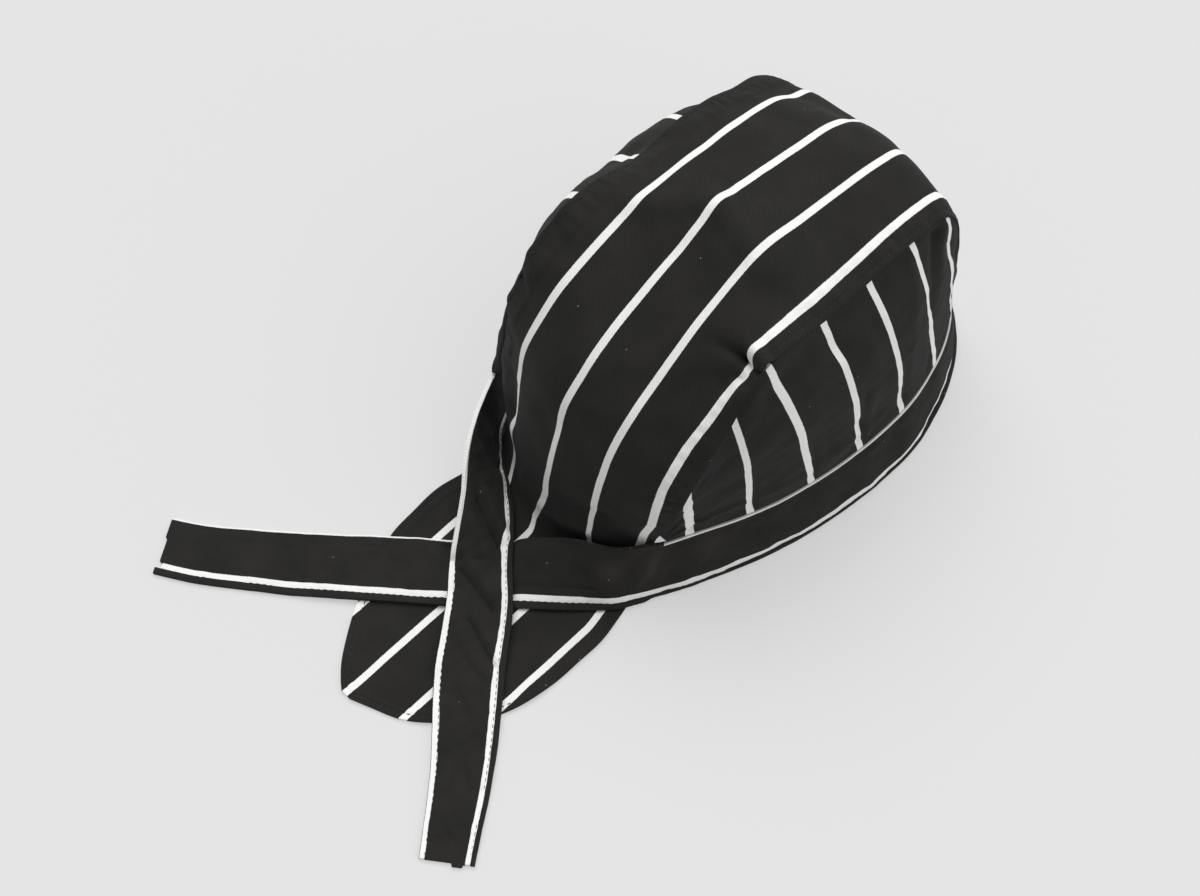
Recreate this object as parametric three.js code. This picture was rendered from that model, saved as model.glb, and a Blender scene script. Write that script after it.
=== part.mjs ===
// Bandana chef cap in striped cotton twill, lying on its rim.
// Millimetres, +Z up. The forehead points to -Y and the ties lie towards +Y;
// the wearer's left is +X. The origin is the middle of the bounding box at the table.
import * as THREE from 'three';

// ---- driving sizes ---------------------------------------------------------

const clothWall = 1.2;       // panels: twill with its seam turned under
const stripWall = 2.2;       // headband and ties: twill folded to four layers
const seamGap = 0.3;         // between pieces that are sewn edge to edge
const lieGap = 0.4;          // between cloths that lie on each other

const rimWidth = 168;        // across the headband at the table
const rimLength = 207;       // from the forehead to the back corners
const crownHeight = 137;     // table to the highest fold of the crown
const stripWidth = 30;       // headband and ties, edge to edge
const panelWidth = 100;      // centre panel, seam to seam
const tailLength = 118;      // tail, from the back corners to its tip
const tieReachRight = 139;   // tie from the wearer's right, back corner to end, along Y
const tieReachLeft = 155;    // tie from the wearer's left, its corner to end, along Y

const rimHalf = rimWidth / 2;
const panelHalf = panelWidth / 2;
const frontY = -rimLength * 0.517;
const backY = frontY + rimLength;
const twill = { color: 0x2d2c2b, roughness: 0.92, metalness: 0 };

// ---- tables ----------------------------------------------------------------

// Headband, from the left back corner round the forehead to the right one.
// x: lower edge, share of half the rim's width. y: share of the rim's length, from
// the forehead. overX, overY: how far the upper edge leans over, share of the width.
const bandRows = [
  { x: 0.667, y: 0.894, overX: 0.15, overY: 0.12 },
  { x: 0.798, y: 0.826, overX: 0.10, overY: 0.06 },
  { x: 0.905, y: 0.744, overX: -0.06, overY: -0.02 },
  { x: 0.988, y: 0.628, overX: -0.16, overY: -0.03 },
  { x: 1.030, y: 0.469, overX: -0.21, overY: 0.00 },
  { x: 1.018, y: 0.314, overX: -0.22, overY: 0.06 },
  { x: 0.905, y: 0.155, overX: -0.19, overY: 0.15 },
  { x: 0.655, y: 0.048, overX: -0.12, overY: 0.22 },
  { x: 0.333, y: 0.010, overX: -0.05, overY: 0.25 },
  { x: 0.000, y: 0.000, overX: 0.00, overY: 0.26 },
  { x: -0.333, y: 0.010, overX: 0.05, overY: 0.25 },
  { x: -0.600, y: 0.048, overX: 0.12, overY: 0.22 },
  { x: -0.826, y: 0.155, overX: 0.20, overY: 0.16 },
  { x: -0.965, y: 0.314, overX: 0.27, overY: 0.06 },
  { x: -0.982, y: 0.469, overX: 0.28, overY: 0.00 },
  { x: -0.935, y: 0.628, overX: 0.28, overY: -0.05 },
  { x: -0.845, y: 0.768, overX: 0.28, overY: -0.12 },
  { x: -0.700, y: 0.915, overX: 0.26, overY: -0.28 },
  { x: -0.607, y: 0.990, overX: 0.19, overY: -0.42 },
];

// Tie from the wearer's right. x as above. y: share of its reach, from the back
// corners. lift: 0 on the table, 1 on the tail. width: share of the strip's width.
const rightTieRows = [
  { x: -0.595, y: 0.000, overX: 0.19, overY: -0.42, lift: 0.9, width: 1.00 },
  { x: -0.524, y: 0.086, overX: 0.36, overY: -0.36, lift: 1.0, width: 1.00 },
  { x: -0.369, y: 0.187, overX: 0.56, overY: -0.58, lift: 1.0, width: 1.00 },
  { x: -0.155, y: 0.309, overX: 0.70, overY: -0.72, lift: 1.0, width: 1.00 },
  { x: 0.083, y: 0.439, overX: 0.70, overY: -0.73, lift: 1.0, width: 1.00 },
  { x: 0.290, y: 0.547, overX: 0.68, overY: -0.75, lift: 1.0, width: 1.00 },
  { x: 0.500, y: 0.655, overX: 0.66, overY: -0.77, lift: 0.9, width: 0.98 },
  { x: 0.690, y: 0.748, overX: 0.65, overY: -0.78, lift: 0.3, width: 0.96 },
  { x: 0.880, y: 0.835, overX: 0.62, overY: -0.80, lift: 0.0, width: 0.93 },
  { x: 1.071, y: 0.921, overX: 0.57, overY: -0.84, lift: 0.0, width: 0.90 },
  { x: 1.250, y: 0.986, overX: 0.54, overY: -0.86, lift: 0.0, width: 0.88 },
];

// Tie from the wearer's left. y: share of its reach, from its own corner.
// lift: 0 on the table, 1 on the tail, 2 on the other tie.
const leftTieRows = [
  { x: 0.655, y: 0.010, overX: 0.16, overY: 0.13, lift: 0.2, width: 1.00 },
  { x: 0.560, y: 0.080, overX: 0.21, overY: 0.19, lift: 1.0, width: 1.00 },
  { x: 0.443, y: 0.130, overX: 0.34, overY: 0.33, lift: 1.3, width: 1.00 },
  { x: 0.333, y: 0.170, overX: 0.46, overY: 0.47, lift: 1.7, width: 1.00 },
  { x: 0.190, y: 0.230, overX: 0.61, overY: 0.62, lift: 2.0, width: 1.00 },
  { x: 0.000, y: 0.330, overX: 0.71, overY: 0.72, lift: 2.0, width: 1.00 },
  { x: -0.190, y: 0.430, overX: 0.72, overY: 0.71, lift: 2.0, width: 1.00 },
  { x: -0.345, y: 0.535, overX: 0.74, overY: 0.69, lift: 1.6, width: 1.00 },
  { x: -0.464, y: 0.610, overX: 0.76, overY: 0.67, lift: 1.0, width: 0.98 },
  { x: -0.590, y: 0.690, overX: 0.78, overY: 0.65, lift: 1.0, width: 0.92 },
  { x: -0.700, y: 0.765, overX: 0.80, overY: 0.62, lift: 0.6, width: 0.87 },
  { x: -0.800, y: 0.840, overX: 0.82, overY: 0.60, lift: 0.1, width: 0.82 },
  { x: -0.895, y: 0.915, overX: 0.82, overY: 0.60, lift: 0.0, width: 0.78 },
  { x: -0.985, y: 0.985, overX: 0.81, overY: 0.61, lift: 0.0, width: 0.75 },
];

// Centre panel over the crown: the lines of its right edge, middle and left edge.
// y: share of the rim's length, from the forehead. z: 0 at the headband's top,
// 1 at the highest fold. xRight, xLeft: share of half the panel's width.
const crownRows = [
  { xRight: 1, yRight: 0.080, zRight: 0.00, yMiddle: 0.038, zMiddle: 0.00, xLeft: 1, yLeft: 0.080, zLeft: 0.00 },
  { xRight: 1, yRight: 0.105, zRight: 0.31, yMiddle: 0.060, zMiddle: 0.31, xLeft: 1, yLeft: 0.102, zLeft: 0.33 },
  { xRight: 1, yRight: 0.132, zRight: 0.58, yMiddle: 0.090, zMiddle: 0.60, xLeft: 1, yLeft: 0.132, zLeft: 0.60 },
  { xRight: 1, yRight: 0.176, zRight: 0.74, yMiddle: 0.136, zMiddle: 0.77, xLeft: 1, yLeft: 0.195, zLeft: 0.74 },
  { xRight: 1, yRight: 0.238, zRight: 0.79, yMiddle: 0.208, zMiddle: 0.85, xLeft: 1, yLeft: 0.265, zLeft: 0.79 },
  { xRight: 1, yRight: 0.325, zRight: 0.81, yMiddle: 0.324, zMiddle: 0.91, xLeft: 1, yLeft: 0.335, zLeft: 0.85 },
  { xRight: 1, yRight: 0.430, zRight: 0.81, yMiddle: 0.440, zMiddle: 0.96, xLeft: 1, yLeft: 0.430, zLeft: 0.88 },
  { xRight: 1, yRight: 0.537, zRight: 0.82, yMiddle: 0.536, zMiddle: 1.00, xLeft: 1, yLeft: 0.527, zLeft: 0.86 },
  { xRight: 1, yRight: 0.620, zRight: 0.85, yMiddle: 0.594, zMiddle: 0.96, xLeft: 1, yLeft: 0.604, zLeft: 0.91 },
  { xRight: 1, yRight: 0.690, zRight: 0.85, yMiddle: 0.655, zMiddle: 0.90, xLeft: 1, yLeft: 0.665, zLeft: 0.94 },
  { xRight: 1, yRight: 0.739, zRight: 0.79, yMiddle: 0.739, zMiddle: 0.83, xLeft: 1, yLeft: 0.739, zLeft: 0.93 },
  { xRight: 1, yRight: 0.786, zRight: 0.65, yMiddle: 0.826, zMiddle: 0.76, xLeft: 1, yLeft: 0.815, zLeft: 0.85 },
  { xRight: 1, yRight: 0.840, zRight: 0.54, yMiddle: 0.903, zMiddle: 0.67, xLeft: 1, yLeft: 0.860, zLeft: 0.72 },
  { xRight: 1, yRight: 0.890, zRight: 0.42, yMiddle: 0.957, zMiddle: 0.54, xLeft: 1.02, yLeft: 0.884, zLeft: 0.57 },
  { xRight: 0.98, yRight: 0.918, zRight: 0.29, yMiddle: 0.988, zMiddle: 0.34, xLeft: 1.05, yLeft: 0.892, zLeft: 0.38 },
  { xRight: 0.92, yRight: 0.930, zRight: 0.15, yMiddle: 1.002, zMiddle: 0.17, xLeft: 1.09, yLeft: 0.896, zLeft: 0.19 },
  { xRight: 0.84, yRight: 0.936, zRight: 0.00, yMiddle: 1.010, zMiddle: 0.00, xLeft: 1.10, yLeft: 0.900, zLeft: 0.00 },
];

// Foot of the centre panel, inside the ties. y: share of the tail's length beyond
// the back corners. z: share of the headband's height.
const footRows = [
  { xRight: 0.85, yRight: -0.090, zRight: 0.50, yMiddle: 0.030, zMiddle: 0.50, xLeft: 1.00, yLeft: -0.165, zLeft: 0.50 },
  { xRight: 0.87, yRight: -0.045, zRight: 0.15, yMiddle: 0.055, zMiddle: 0.15, xLeft: 0.90, yLeft: -0.125, zLeft: 0.14 },
  { xRight: 0.90, yRight: 0.020, zRight: 0.00, yMiddle: 0.100, zMiddle: 0.00, xLeft: 0.88, yLeft: -0.060, zLeft: 0.00 },
];

// Tail, flat on the table. y: share of the tail's length beyond the back corners.
const tailRows = [
  { xRight: 0.95, yRight: 0.110, yMiddle: 0.160, xLeft: 0.94, yLeft: 0.070 },
  { xRight: 1.00, yRight: 0.220, yMiddle: 0.240, xLeft: 1.00, yLeft: 0.215 },
  { xRight: 1.00, yRight: 0.340, yMiddle: 0.340, xLeft: 0.99, yLeft: 0.340 },
  { xRight: 0.99, yRight: 0.460, yMiddle: 0.460, xLeft: 0.96, yLeft: 0.460 },
  { xRight: 0.95, yRight: 0.575, yMiddle: 0.575, xLeft: 0.86, yLeft: 0.575 },
  { xRight: 0.86, yRight: 0.680, yMiddle: 0.680, xLeft: 0.75, yLeft: 0.680 },
  { xRight: 0.72, yRight: 0.765, yMiddle: 0.765, xLeft: 0.65, yLeft: 0.765 },
  { xRight: 0.56, yRight: 0.845, yMiddle: 0.845, xLeft: 0.53, yLeft: 0.845 },
  { xRight: 0.34, yRight: 0.920, yMiddle: 0.920, xLeft: 0.40, yLeft: 0.920 },
  { xRight: 0.06, yRight: 0.970, yMiddle: 0.970, xLeft: 0.28, yLeft: 0.970 },
  { xRight: -0.10, yRight: 0.997, yMiddle: 0.997, xLeft: 0.20, yLeft: 0.997 },
];

// Side panels: how far they bulge beyond the straight line from headband to seam,
// share of the crown's height. t: place along the seam, front to back.
const rightBulgeRows = [
  { bulge: 0.000 }, { bulge: 0.010 }, { bulge: 0.045 }, { bulge: 0.052 },
  { bulge: 0.050 }, { bulge: 0.045 }, { bulge: 0.018 }, { bulge: 0.000 },
];
const leftBulgeRows = [
  { bulge: 0.000 }, { bulge: 0.030 }, { bulge: 0.075 }, { bulge: 0.092 },
  { bulge: 0.092 }, { bulge: 0.075 }, { bulge: 0.035 }, { bulge: 0.000 },
];
const bulgePeak = 0.58;      // height of the fullest place, share of the way to the seam

// ---- reading the tables ----------------------------------------------------

const smooth = (a, b, c, d, f) =>
  b + 0.5 * f * (c - a + f * (2 * a - 5 * b + 4 * c - d + f * (3 * (b - c) + d - a)));

// The row at place t (0 at the first row, rows.length - 1 at the last), each
// column on a smooth curve through its values.
function rowAt(rows, t) {
  const last = rows.length - 1;
  const i = Math.min(Math.max(Math.floor(t), 0), last - 1);
  const [a, b, c, d] = [Math.max(i - 1, 0), i, i + 1, Math.min(i + 2, last)];
  const row = {};
  for (const key of Object.keys(rows[0])) {
    row[key] = smooth(rows[a][key], rows[b][key], rows[c][key], rows[d][key], t - i);
  }
  return row;
}

// The place t between low and high where the rising function f reaches value.
function solve(f, value, low, high) {
  for (let k = 0; k < 40; k++) {
    const middle = (low + high) / 2;
    if (f(middle) < value) low = middle; else high = middle;
  }
  return (low + high) / 2;
}

// ---- headband and ties -----------------------------------------------------

// A point on a strip: q is 0 at the lower edge and 1 at the upper edge. The lower
// edge is raised by half the wall as the strip leans, so that it stays on the table.
function stripPoint(row, y, z, q) {
  const width = stripWidth * (row.width ?? 1);
  const flat = Math.hypot(row.overX, row.overY);
  const k = flat > 1 ? 1 / flat : 1;
  const rise = Math.sqrt(Math.max(0, 1 - (flat * k) ** 2));
  return new THREE.Vector3(
    row.x * rimHalf + q * width * row.overX * k,
    y + q * width * row.overY * k,
    z + Math.min(flat, 1) * stripWall / 2 + q * width * rise,
  );
}

function bandPoint(t, q) {
  const row = rowAt(bandRows, t);
  return stripPoint(row, frontY + row.y * rimLength, 0, q);
}

const onTail = clothWall + lieGap;
const onTie = stripWall + lieGap;

function liftHeight(lift) {
  const l = Math.max(lift, 0);
  return Math.min(l, 1) * onTail + Math.max(Math.min(l, 2) - 1, 0) * onTie;
}

function rightTiePoint(t, q) {
  const row = rowAt(rightTieRows, t);
  return stripPoint(row, backY + row.y * tieReachRight, liftHeight(row.lift), q);
}

const leftCornerY = frontY + bandRows[0].y * rimLength;

function leftTiePoint(t, q) {
  const row = rowAt(leftTieRows, t);
  return stripPoint(row, leftCornerY + row.y * tieReachLeft, liftHeight(row.lift), q);
}

// ---- centre panel ----------------------------------------------------------

const frontMiddle = (bandRows.length - 1) / 2;
const bandTop = bandPoint(frontMiddle, 1).z + seamGap * 2;
const panelRows = [
  ...crownRows.map((r) => ({
    ...r,
    yRight: frontY + r.yRight * rimLength,
    yMiddle: frontY + r.yMiddle * rimLength,
    yLeft: frontY + r.yLeft * rimLength,
    zRight: bandTop + r.zRight * (crownHeight - bandTop),
    zMiddle: bandTop + r.zMiddle * (crownHeight - bandTop),
    zLeft: bandTop + r.zLeft * (crownHeight - bandTop),
  })),
  ...[...footRows, ...tailRows].map((r) => ({
    ...r,
    yRight: backY + r.yRight * tailLength,
    yMiddle: backY + r.yMiddle * tailLength,
    yLeft: backY + r.yLeft * tailLength,
    zRight: (r.zRight ?? 0) * bandTop,
    zMiddle: (r.zMiddle ?? 0) * bandTop,
    zLeft: (r.zLeft ?? 0) * bandTop,
  })),
];
const seamEnd = crownRows.length - 1;
const tailStart = crownRows.length + footRows.length - 1;

// A point of the panel's inner face: u is -1 at the right edge and 1 at the left.
function panelPoint(t, u) {
  const r = rowAt(panelRows, t);
  const across = (right, middle, left) =>
    middle + u * (left - right) / 2 + u * u * ((left + right) / 2 - middle);
  const x = panelHalf * across(-r.xRight, (r.xLeft - r.xRight) / 2, r.xLeft);
  const y = across(r.yRight, r.yMiddle, r.yLeft);
  const z = t >= tailStart ? 0 : Math.max(0, across(r.zRight, r.zMiddle, r.zLeft));
  if (t > 1) return new THREE.Vector3(x, y, z);
  // the first row follows the headband's upper edge round the forehead
  const foot = bandPoint(solve((s) => -bandPoint(s, 1).x, -x, frontMiddle - 4, frontMiddle + 4), 1);
  foot.z += seamGap * 2;
  return foot.lerp(new THREE.Vector3(x, y, z), Math.max(t, 0));
}

// ---- side panels -----------------------------------------------------------

// The rib of a side panel at place t of the seam, from the headband (q = 0) to the
// seam (q = 1). side is -1 for the wearer's right and 1 for the left.
function sidePoint(side, bulges, t, q) {
  const seam = panelPoint(t, side);
  const along = panelPoint(t + 0.02, side).sub(panelPoint(t - 0.02, side)).normalize();
  const away = new THREE.Vector3(side, 0, -0.35).addScaledVector(
    along, -new THREE.Vector3(side, 0, -0.35).dot(along)).normalize();
  seam.addScaledVector(away, clothWall + seamGap);

  const start = panelPoint(0, side).y;
  const end = panelPoint(seamEnd, side).y;
  const share = Math.min(Math.max((panelPoint(t, side).y - start) / (end - start), 0), 1);
  const corner = side < 0 ? bandRows.length - 1.15 : 0.15;
  const yFoot = THREE.MathUtils.lerp(start, bandPoint(corner, 1).y, share);
  const s = solve((k) => bandPoint(frontMiddle - side * k, 1).y, yFoot, 2, Math.abs(frontMiddle - corner));
  const foot = bandPoint(frontMiddle - side * s, 1);
  foot.z += seamGap * 2 + clothWall / 2;

  const full = rowAt(bulges, share * (bulges.length - 1)).bulge * crownHeight;
  const skew = q ** (Math.log(0.5) / Math.log(bulgePeak));
  const point = foot.lerp(seam, q);
  point.x += side * full * Math.sin(Math.PI * skew);
  return point;
}

// ---- cloth as a closed solid -----------------------------------------------

// Walls up both sides of a grid of points, offset along the cloth's own normal:
// below and above are the shares of the wall on either side.
function clothSolid(grid, wall, below, above) {
  const rows = grid.length;
  const columns = grid[0].length;
  const at = (i, j) => grid[Math.min(Math.max(i, 0), rows - 1)][Math.min(Math.max(j, 0), columns - 1)];
  const positions = [];
  const face = (offset) => grid.forEach((line, i) => line.forEach((point, j) => {
    const down = at(i + 1, j).clone().sub(at(i - 1, j));
    const over = at(i, j + 1).clone().sub(at(i, j - 1));
    const normal = over.cross(down).normalize();
    positions.push(...point.clone().addScaledVector(normal, offset * wall).toArray());
  }));
  face(-below);
  face(above);

  const lower = (i, j) => i * columns + j;
  const upper = (i, j) => rows * columns + i * columns + j;
  const index = [];
  const quad = (a, b, c, d) => index.push(a, b, c, a, c, d);
  for (let i = 0; i < rows - 1; i++) {
    for (let j = 0; j < columns - 1; j++) {
      quad(upper(i, j), upper(i, j + 1), upper(i + 1, j + 1), upper(i + 1, j));
      quad(lower(i, j), lower(i + 1, j), lower(i + 1, j + 1), lower(i, j + 1));
    }
    quad(lower(i, 0), upper(i, 0), upper(i + 1, 0), lower(i + 1, 0));
    quad(lower(i, columns - 1), lower(i + 1, columns - 1), upper(i + 1, columns - 1), upper(i, columns - 1));
  }
  for (let j = 0; j < columns - 1; j++) {
    quad(lower(0, j), lower(0, j + 1), upper(0, j + 1), upper(0, j));
    quad(lower(rows - 1, j), upper(rows - 1, j), upper(rows - 1, j + 1), lower(rows - 1, j + 1));
  }
  const geometry = new THREE.BufferGeometry();
  geometry.setAttribute('position', new THREE.Float32BufferAttribute(positions, 3));
  geometry.setIndex(index);
  geometry.computeVertexNormals();
  return geometry;
}

// A grid of points: first to last along the cloth, low to high across it.
function clothGrid(point, first, last, steps, low, high, across) {
  return Array.from({ length: steps + 1 }, (_, i) =>
    Array.from({ length: across + 1 }, (_, j) =>
      point(first + (last - first) * i / steps, low + (high - low) * j / across)));
}

function piece(name, geometry) {
  const mesh = new THREE.Mesh(geometry, new THREE.MeshStandardMaterial(twill));
  mesh.name = name;
  return mesh;
}

// ---- the cap ---------------------------------------------------------------

const centerPanel = piece('center_panel', clothSolid(
  clothGrid(panelPoint, 0, panelRows.length - 1, 78, -1, 1, 12), clothWall, 0, 1));

const sidePanel = (name, side, bulges) => piece(name, clothSolid(
  clothGrid((t, q) => sidePoint(side, bulges, t, q), 0.5, seamEnd - 0.3, 40, side < 0 ? 0 : 1, side < 0 ? 1 : 0, 8),
  clothWall, 0.5, 0.5));
const sidePanelRight = sidePanel('side_panel_right', -1, rightBulgeRows);
const sidePanelLeft = sidePanel('side_panel_left', 1, leftBulgeRows);

const headband = piece('headband', clothSolid(
  clothGrid(bandPoint, 0, bandRows.length - 1, 72, 0, 1, 2), stripWall, 0.5, 0.5));
const tieRight = piece('tie_right', clothSolid(
  clothGrid(rightTiePoint, 0, rightTieRows.length - 1, 40, 0, 1, 2), stripWall, 0.5, 0.5));
const tieLeft = piece('tie_left', clothSolid(
  clothGrid(leftTiePoint, leftTieRows.length - 1, 0, 44, 0, 1, 2), stripWall, 0.5, 0.5));

const cap = new THREE.Group();
cap.add(centerPanel, sidePanelRight, sidePanelLeft, headband, tieRight, tieLeft);

// the whole cap is moved so that its bounding box is centred over the origin
const box = new THREE.Box3().setFromObject(cap);
const middle = box.getCenter(new THREE.Vector3());
cap.position.set(-middle.x, -middle.y, -box.min.z);

export default cap;
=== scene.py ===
# Bandana chef cap in black twill with thin off-white stripes, lying on a pale table.
# Forms are worked out in millimetres, with the forehead towards -Y and the wearer's left at +X.
import math
import bpy
import numpy as np
from mathutils import Matrix, Vector


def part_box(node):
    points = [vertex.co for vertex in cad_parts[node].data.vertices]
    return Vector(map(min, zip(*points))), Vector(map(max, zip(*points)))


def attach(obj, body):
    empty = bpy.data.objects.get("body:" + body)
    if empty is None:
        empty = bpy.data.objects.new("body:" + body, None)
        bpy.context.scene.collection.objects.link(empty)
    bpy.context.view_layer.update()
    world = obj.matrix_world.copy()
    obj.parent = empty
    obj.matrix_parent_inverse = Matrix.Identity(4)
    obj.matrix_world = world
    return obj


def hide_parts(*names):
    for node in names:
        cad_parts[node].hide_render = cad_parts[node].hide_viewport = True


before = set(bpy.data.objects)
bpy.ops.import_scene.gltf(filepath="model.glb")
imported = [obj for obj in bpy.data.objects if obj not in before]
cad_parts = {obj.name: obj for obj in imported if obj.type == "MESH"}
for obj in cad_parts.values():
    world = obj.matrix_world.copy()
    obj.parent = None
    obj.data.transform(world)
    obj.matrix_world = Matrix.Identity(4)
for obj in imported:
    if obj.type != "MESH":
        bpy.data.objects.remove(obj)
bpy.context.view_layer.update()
bpy.ops.object.select_all(action="DESELECT")

# what the cap was cut to
cap = {
    "rimWidth": 168, "rimLength": 207, "crownHeight": 137,
    "stripWidth": 30, "panelWidth": 100, "tailLength": 118,
    "tieReachRight": 139, "tieReachLeft": 155,
    "panelWall": 1.0, "stripWall": 2.0, "seamGap": 0.35, "lieGap": 0.4,
}
rimHalf = cap["rimWidth"] / 2
panelHalf = cap["panelWidth"] / 2
frontY = -cap["rimLength"] * 0.517
backY = frontY + cap["rimLength"]


# A table of rows is read as smooth curves: place 0 is the first row, place 1 the second.
def rowAt(table, t):
    rows = np.array(table["rows"], float)
    t = np.asarray(t, float)
    last = len(rows) - 1
    i = np.clip(np.floor(t).astype(int), 0, last - 1)
    f = (t - i)[..., None]
    a, b = rows[np.maximum(i - 1, 0)], rows[i]
    c, d = rows[i + 1], rows[np.minimum(i + 2, last)]
    value = b + 0.5 * f * (c - a + f * (2 * a - 5 * b + 4 * c - d + f * (3 * (b - c) + d - a)))
    return {name: value[..., k] for k, name in enumerate(table["columns"])}


def smoothStep(low, high, value):
    f = np.clip((value - low) / (high - low), 0, 1)
    return f * f * (3 - 2 * f)


# Soft unevenness of cloth: a few seeded waves, sizes from wave down to a third of it.
def waves(a, b, wave, seed, count=9):
    rng = np.random.default_rng(seed)
    total = np.zeros(np.broadcast(a, b).shape)
    for k in range(count):
        turn, phase = rng.uniform(0, 2 * math.pi, 2)
        length = wave * (1 - 0.66 * k / count)
        total += np.sin((a * math.cos(turn) + b * math.sin(turn)) * 2 * math.pi / length + phase)
    return total / math.sqrt(count)


# The headband and the ties: their middle lines and how they lean.
bandTable = {
    "columns": ("x", "y", "overX", "overY"),
    "rows": [
        (0.667, 0.894, 0.15, 0.12),
        (0.798, 0.826, 0.10, 0.06),
        (0.905, 0.744, -0.06, -0.02),
        (0.988, 0.628, -0.16, -0.03),
        (1.030, 0.469, -0.21, 0.00),
        (1.018, 0.314, -0.22, 0.06),
        (0.905, 0.155, -0.19, 0.15),
        (0.655, 0.048, -0.12, 0.22),
        (0.333, 0.010, -0.05, 0.25),
        (0.000, 0.000, 0.00, 0.26),
        (-0.333, 0.010, 0.05, 0.25),
        (-0.600, 0.048, 0.12, 0.22),
        (-0.826, 0.155, 0.20, 0.16),
        (-0.965, 0.314, 0.27, 0.06),
        (-0.982, 0.469, 0.28, 0.00),
        (-0.935, 0.628, 0.28, -0.05),
        (-0.845, 0.768, 0.28, -0.12),
        (-0.700, 0.915, 0.26, -0.28),
        (-0.607, 0.990, 0.19, -0.42),
    ],
}
rightTieTable = {
    "columns": ("x", "y", "overX", "overY", "lift", "width"),
    "rows": [
        (-0.595, 0.000, 0.19, -0.42, 0.9, 1.00),
        (-0.524, 0.086, 0.36, -0.36, 1.0, 1.00),
        (-0.369, 0.187, 0.56, -0.58, 1.0, 1.00),
        (-0.155, 0.309, 0.70, -0.72, 1.0, 1.00),
        (0.083, 0.439, 0.70, -0.73, 1.0, 1.00),
        (0.290, 0.547, 0.68, -0.75, 1.0, 1.00),
        (0.500, 0.655, 0.66, -0.77, 0.9, 0.98),
        (0.690, 0.748, 0.65, -0.78, 0.3, 0.96),
        (0.880, 0.835, 0.62, -0.80, 0.0, 0.93),
        (1.071, 0.921, 0.57, -0.84, 0.0, 0.90),
        (1.250, 0.986, 0.54, -0.86, 0.0, 0.88),
    ],
}
leftTieTable = {
    "columns": ("x", "y", "overX", "overY", "lift", "width"),
    "rows": [
        (0.655, 0.010, 0.16, 0.13, 0.2, 1.00),
        (0.560, 0.080, 0.21, 0.19, 1.0, 1.00),
        (0.443, 0.130, 0.34, 0.33, 1.3, 0.97),
        (0.333, 0.170, 0.46, 0.47, 1.7, 0.90),
        (0.190, 0.230, 0.61, 0.62, 2.0, 0.83),
        (0.000, 0.330, 0.71, 0.72, 2.0, 0.88),
        (-0.190, 0.430, 0.72, 0.71, 2.0, 0.94),
        (-0.345, 0.535, 0.74, 0.69, 1.6, 0.96),
        (-0.464, 0.610, 0.76, 0.67, 1.0, 0.96),
        (-0.590, 0.690, 0.78, 0.65, 1.0, 0.92),
        (-0.700, 0.765, 0.80, 0.62, 0.6, 0.87),
        (-0.800, 0.840, 0.82, 0.60, 0.1, 0.82),
        (-0.895, 0.915, 0.82, 0.60, 0.0, 0.78),
        (-0.985, 0.985, 0.81, 0.61, 0.0, 0.75),
    ],
}
onTail = cap["panelWall"] + cap["lieGap"]
onTie = cap["stripWall"] + cap["lieGap"]
leftCornerY = frontY + bandTable["rows"][0][1] * cap["rimLength"]


# q is 0 at a strip's lower edge and 1 at its upper edge.
def stripPoints(row, y, z, q):
    width = cap["stripWidth"] * row.get("width", 1)
    flat = np.hypot(row["overX"], row["overY"])
    k = np.where(flat > 1, 1 / flat, 1)
    rise = np.sqrt(np.maximum(0, 1 - (flat * k) ** 2))
    return np.stack([
        row["x"] * rimHalf + q * width * row["overX"] * k,
        y + q * width * row["overY"] * k,
        z + np.minimum(flat, 1) * cap["stripWall"] / 2 + q * width * rise,
    ], -1)


def liftHeight(lift):
    return np.clip(lift, 0, 1) * onTail + np.clip(lift - 1, 0, 1) * onTie


# The tie ends are hems of several layers, cut a little uneven: how far each part sticks out, in
# millimetres, from the lower edge (0) to the upper edge (1).
rightEnd = ((0.10, 1.2), (0.21, -1.6), (0.64, 0.0), (1.01, 0.9))
leftEnd = ((0.22, 0.2), (0.42, 1.5), (1.01, 0.0))
rightEndWay = (0.86, 0.51, 0)
leftEndWay = (-0.57, 0.82, 0)
endLength = 0.45                    # how much of the last row's stretch the hem takes


def endReach(end, t, last, q):
    t, q = np.broadcast_arrays(t, q)
    out = np.zeros(t.shape)
    start = -0.01
    for top, reach in end:
        out = np.where((q > start) & (q <= top), reach, out)
        start = top
    near = np.clip((t - last + endLength) / endLength, 0, 1)
    return out * near


def bandPoints(t, q):
    row = rowAt(bandTable, t)
    return stripPoints(row, frontY + row["y"] * cap["rimLength"], 0, q)


def rightTiePoints(t, q):
    row = rowAt(rightTieTable, t)
    points = stripPoints(row, backY + row["y"] * cap["tieReachRight"], liftHeight(row["lift"]), q)
    return points + endReach(rightEnd, t, rightTieLast, q)[..., None] * rightEndWay


def leftTiePoints(t, q):
    row = rowAt(leftTieTable, t)
    points = stripPoints(row, leftCornerY + row["y"] * cap["tieReachLeft"], liftHeight(row["lift"]), q)
    return points + endReach(leftEnd, t, leftTieLast, q)[..., None] * leftEndWay


bandLast = len(bandTable["rows"]) - 1
rightTieLast = len(rightTieTable["rows"]) - 1
leftTieLast = len(leftTieTable["rows"]) - 1
frontMiddle = bandLast / 2
bandTop = float(bandPoints(frontMiddle, 1)[2]) + 2 * cap["seamGap"]

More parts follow.
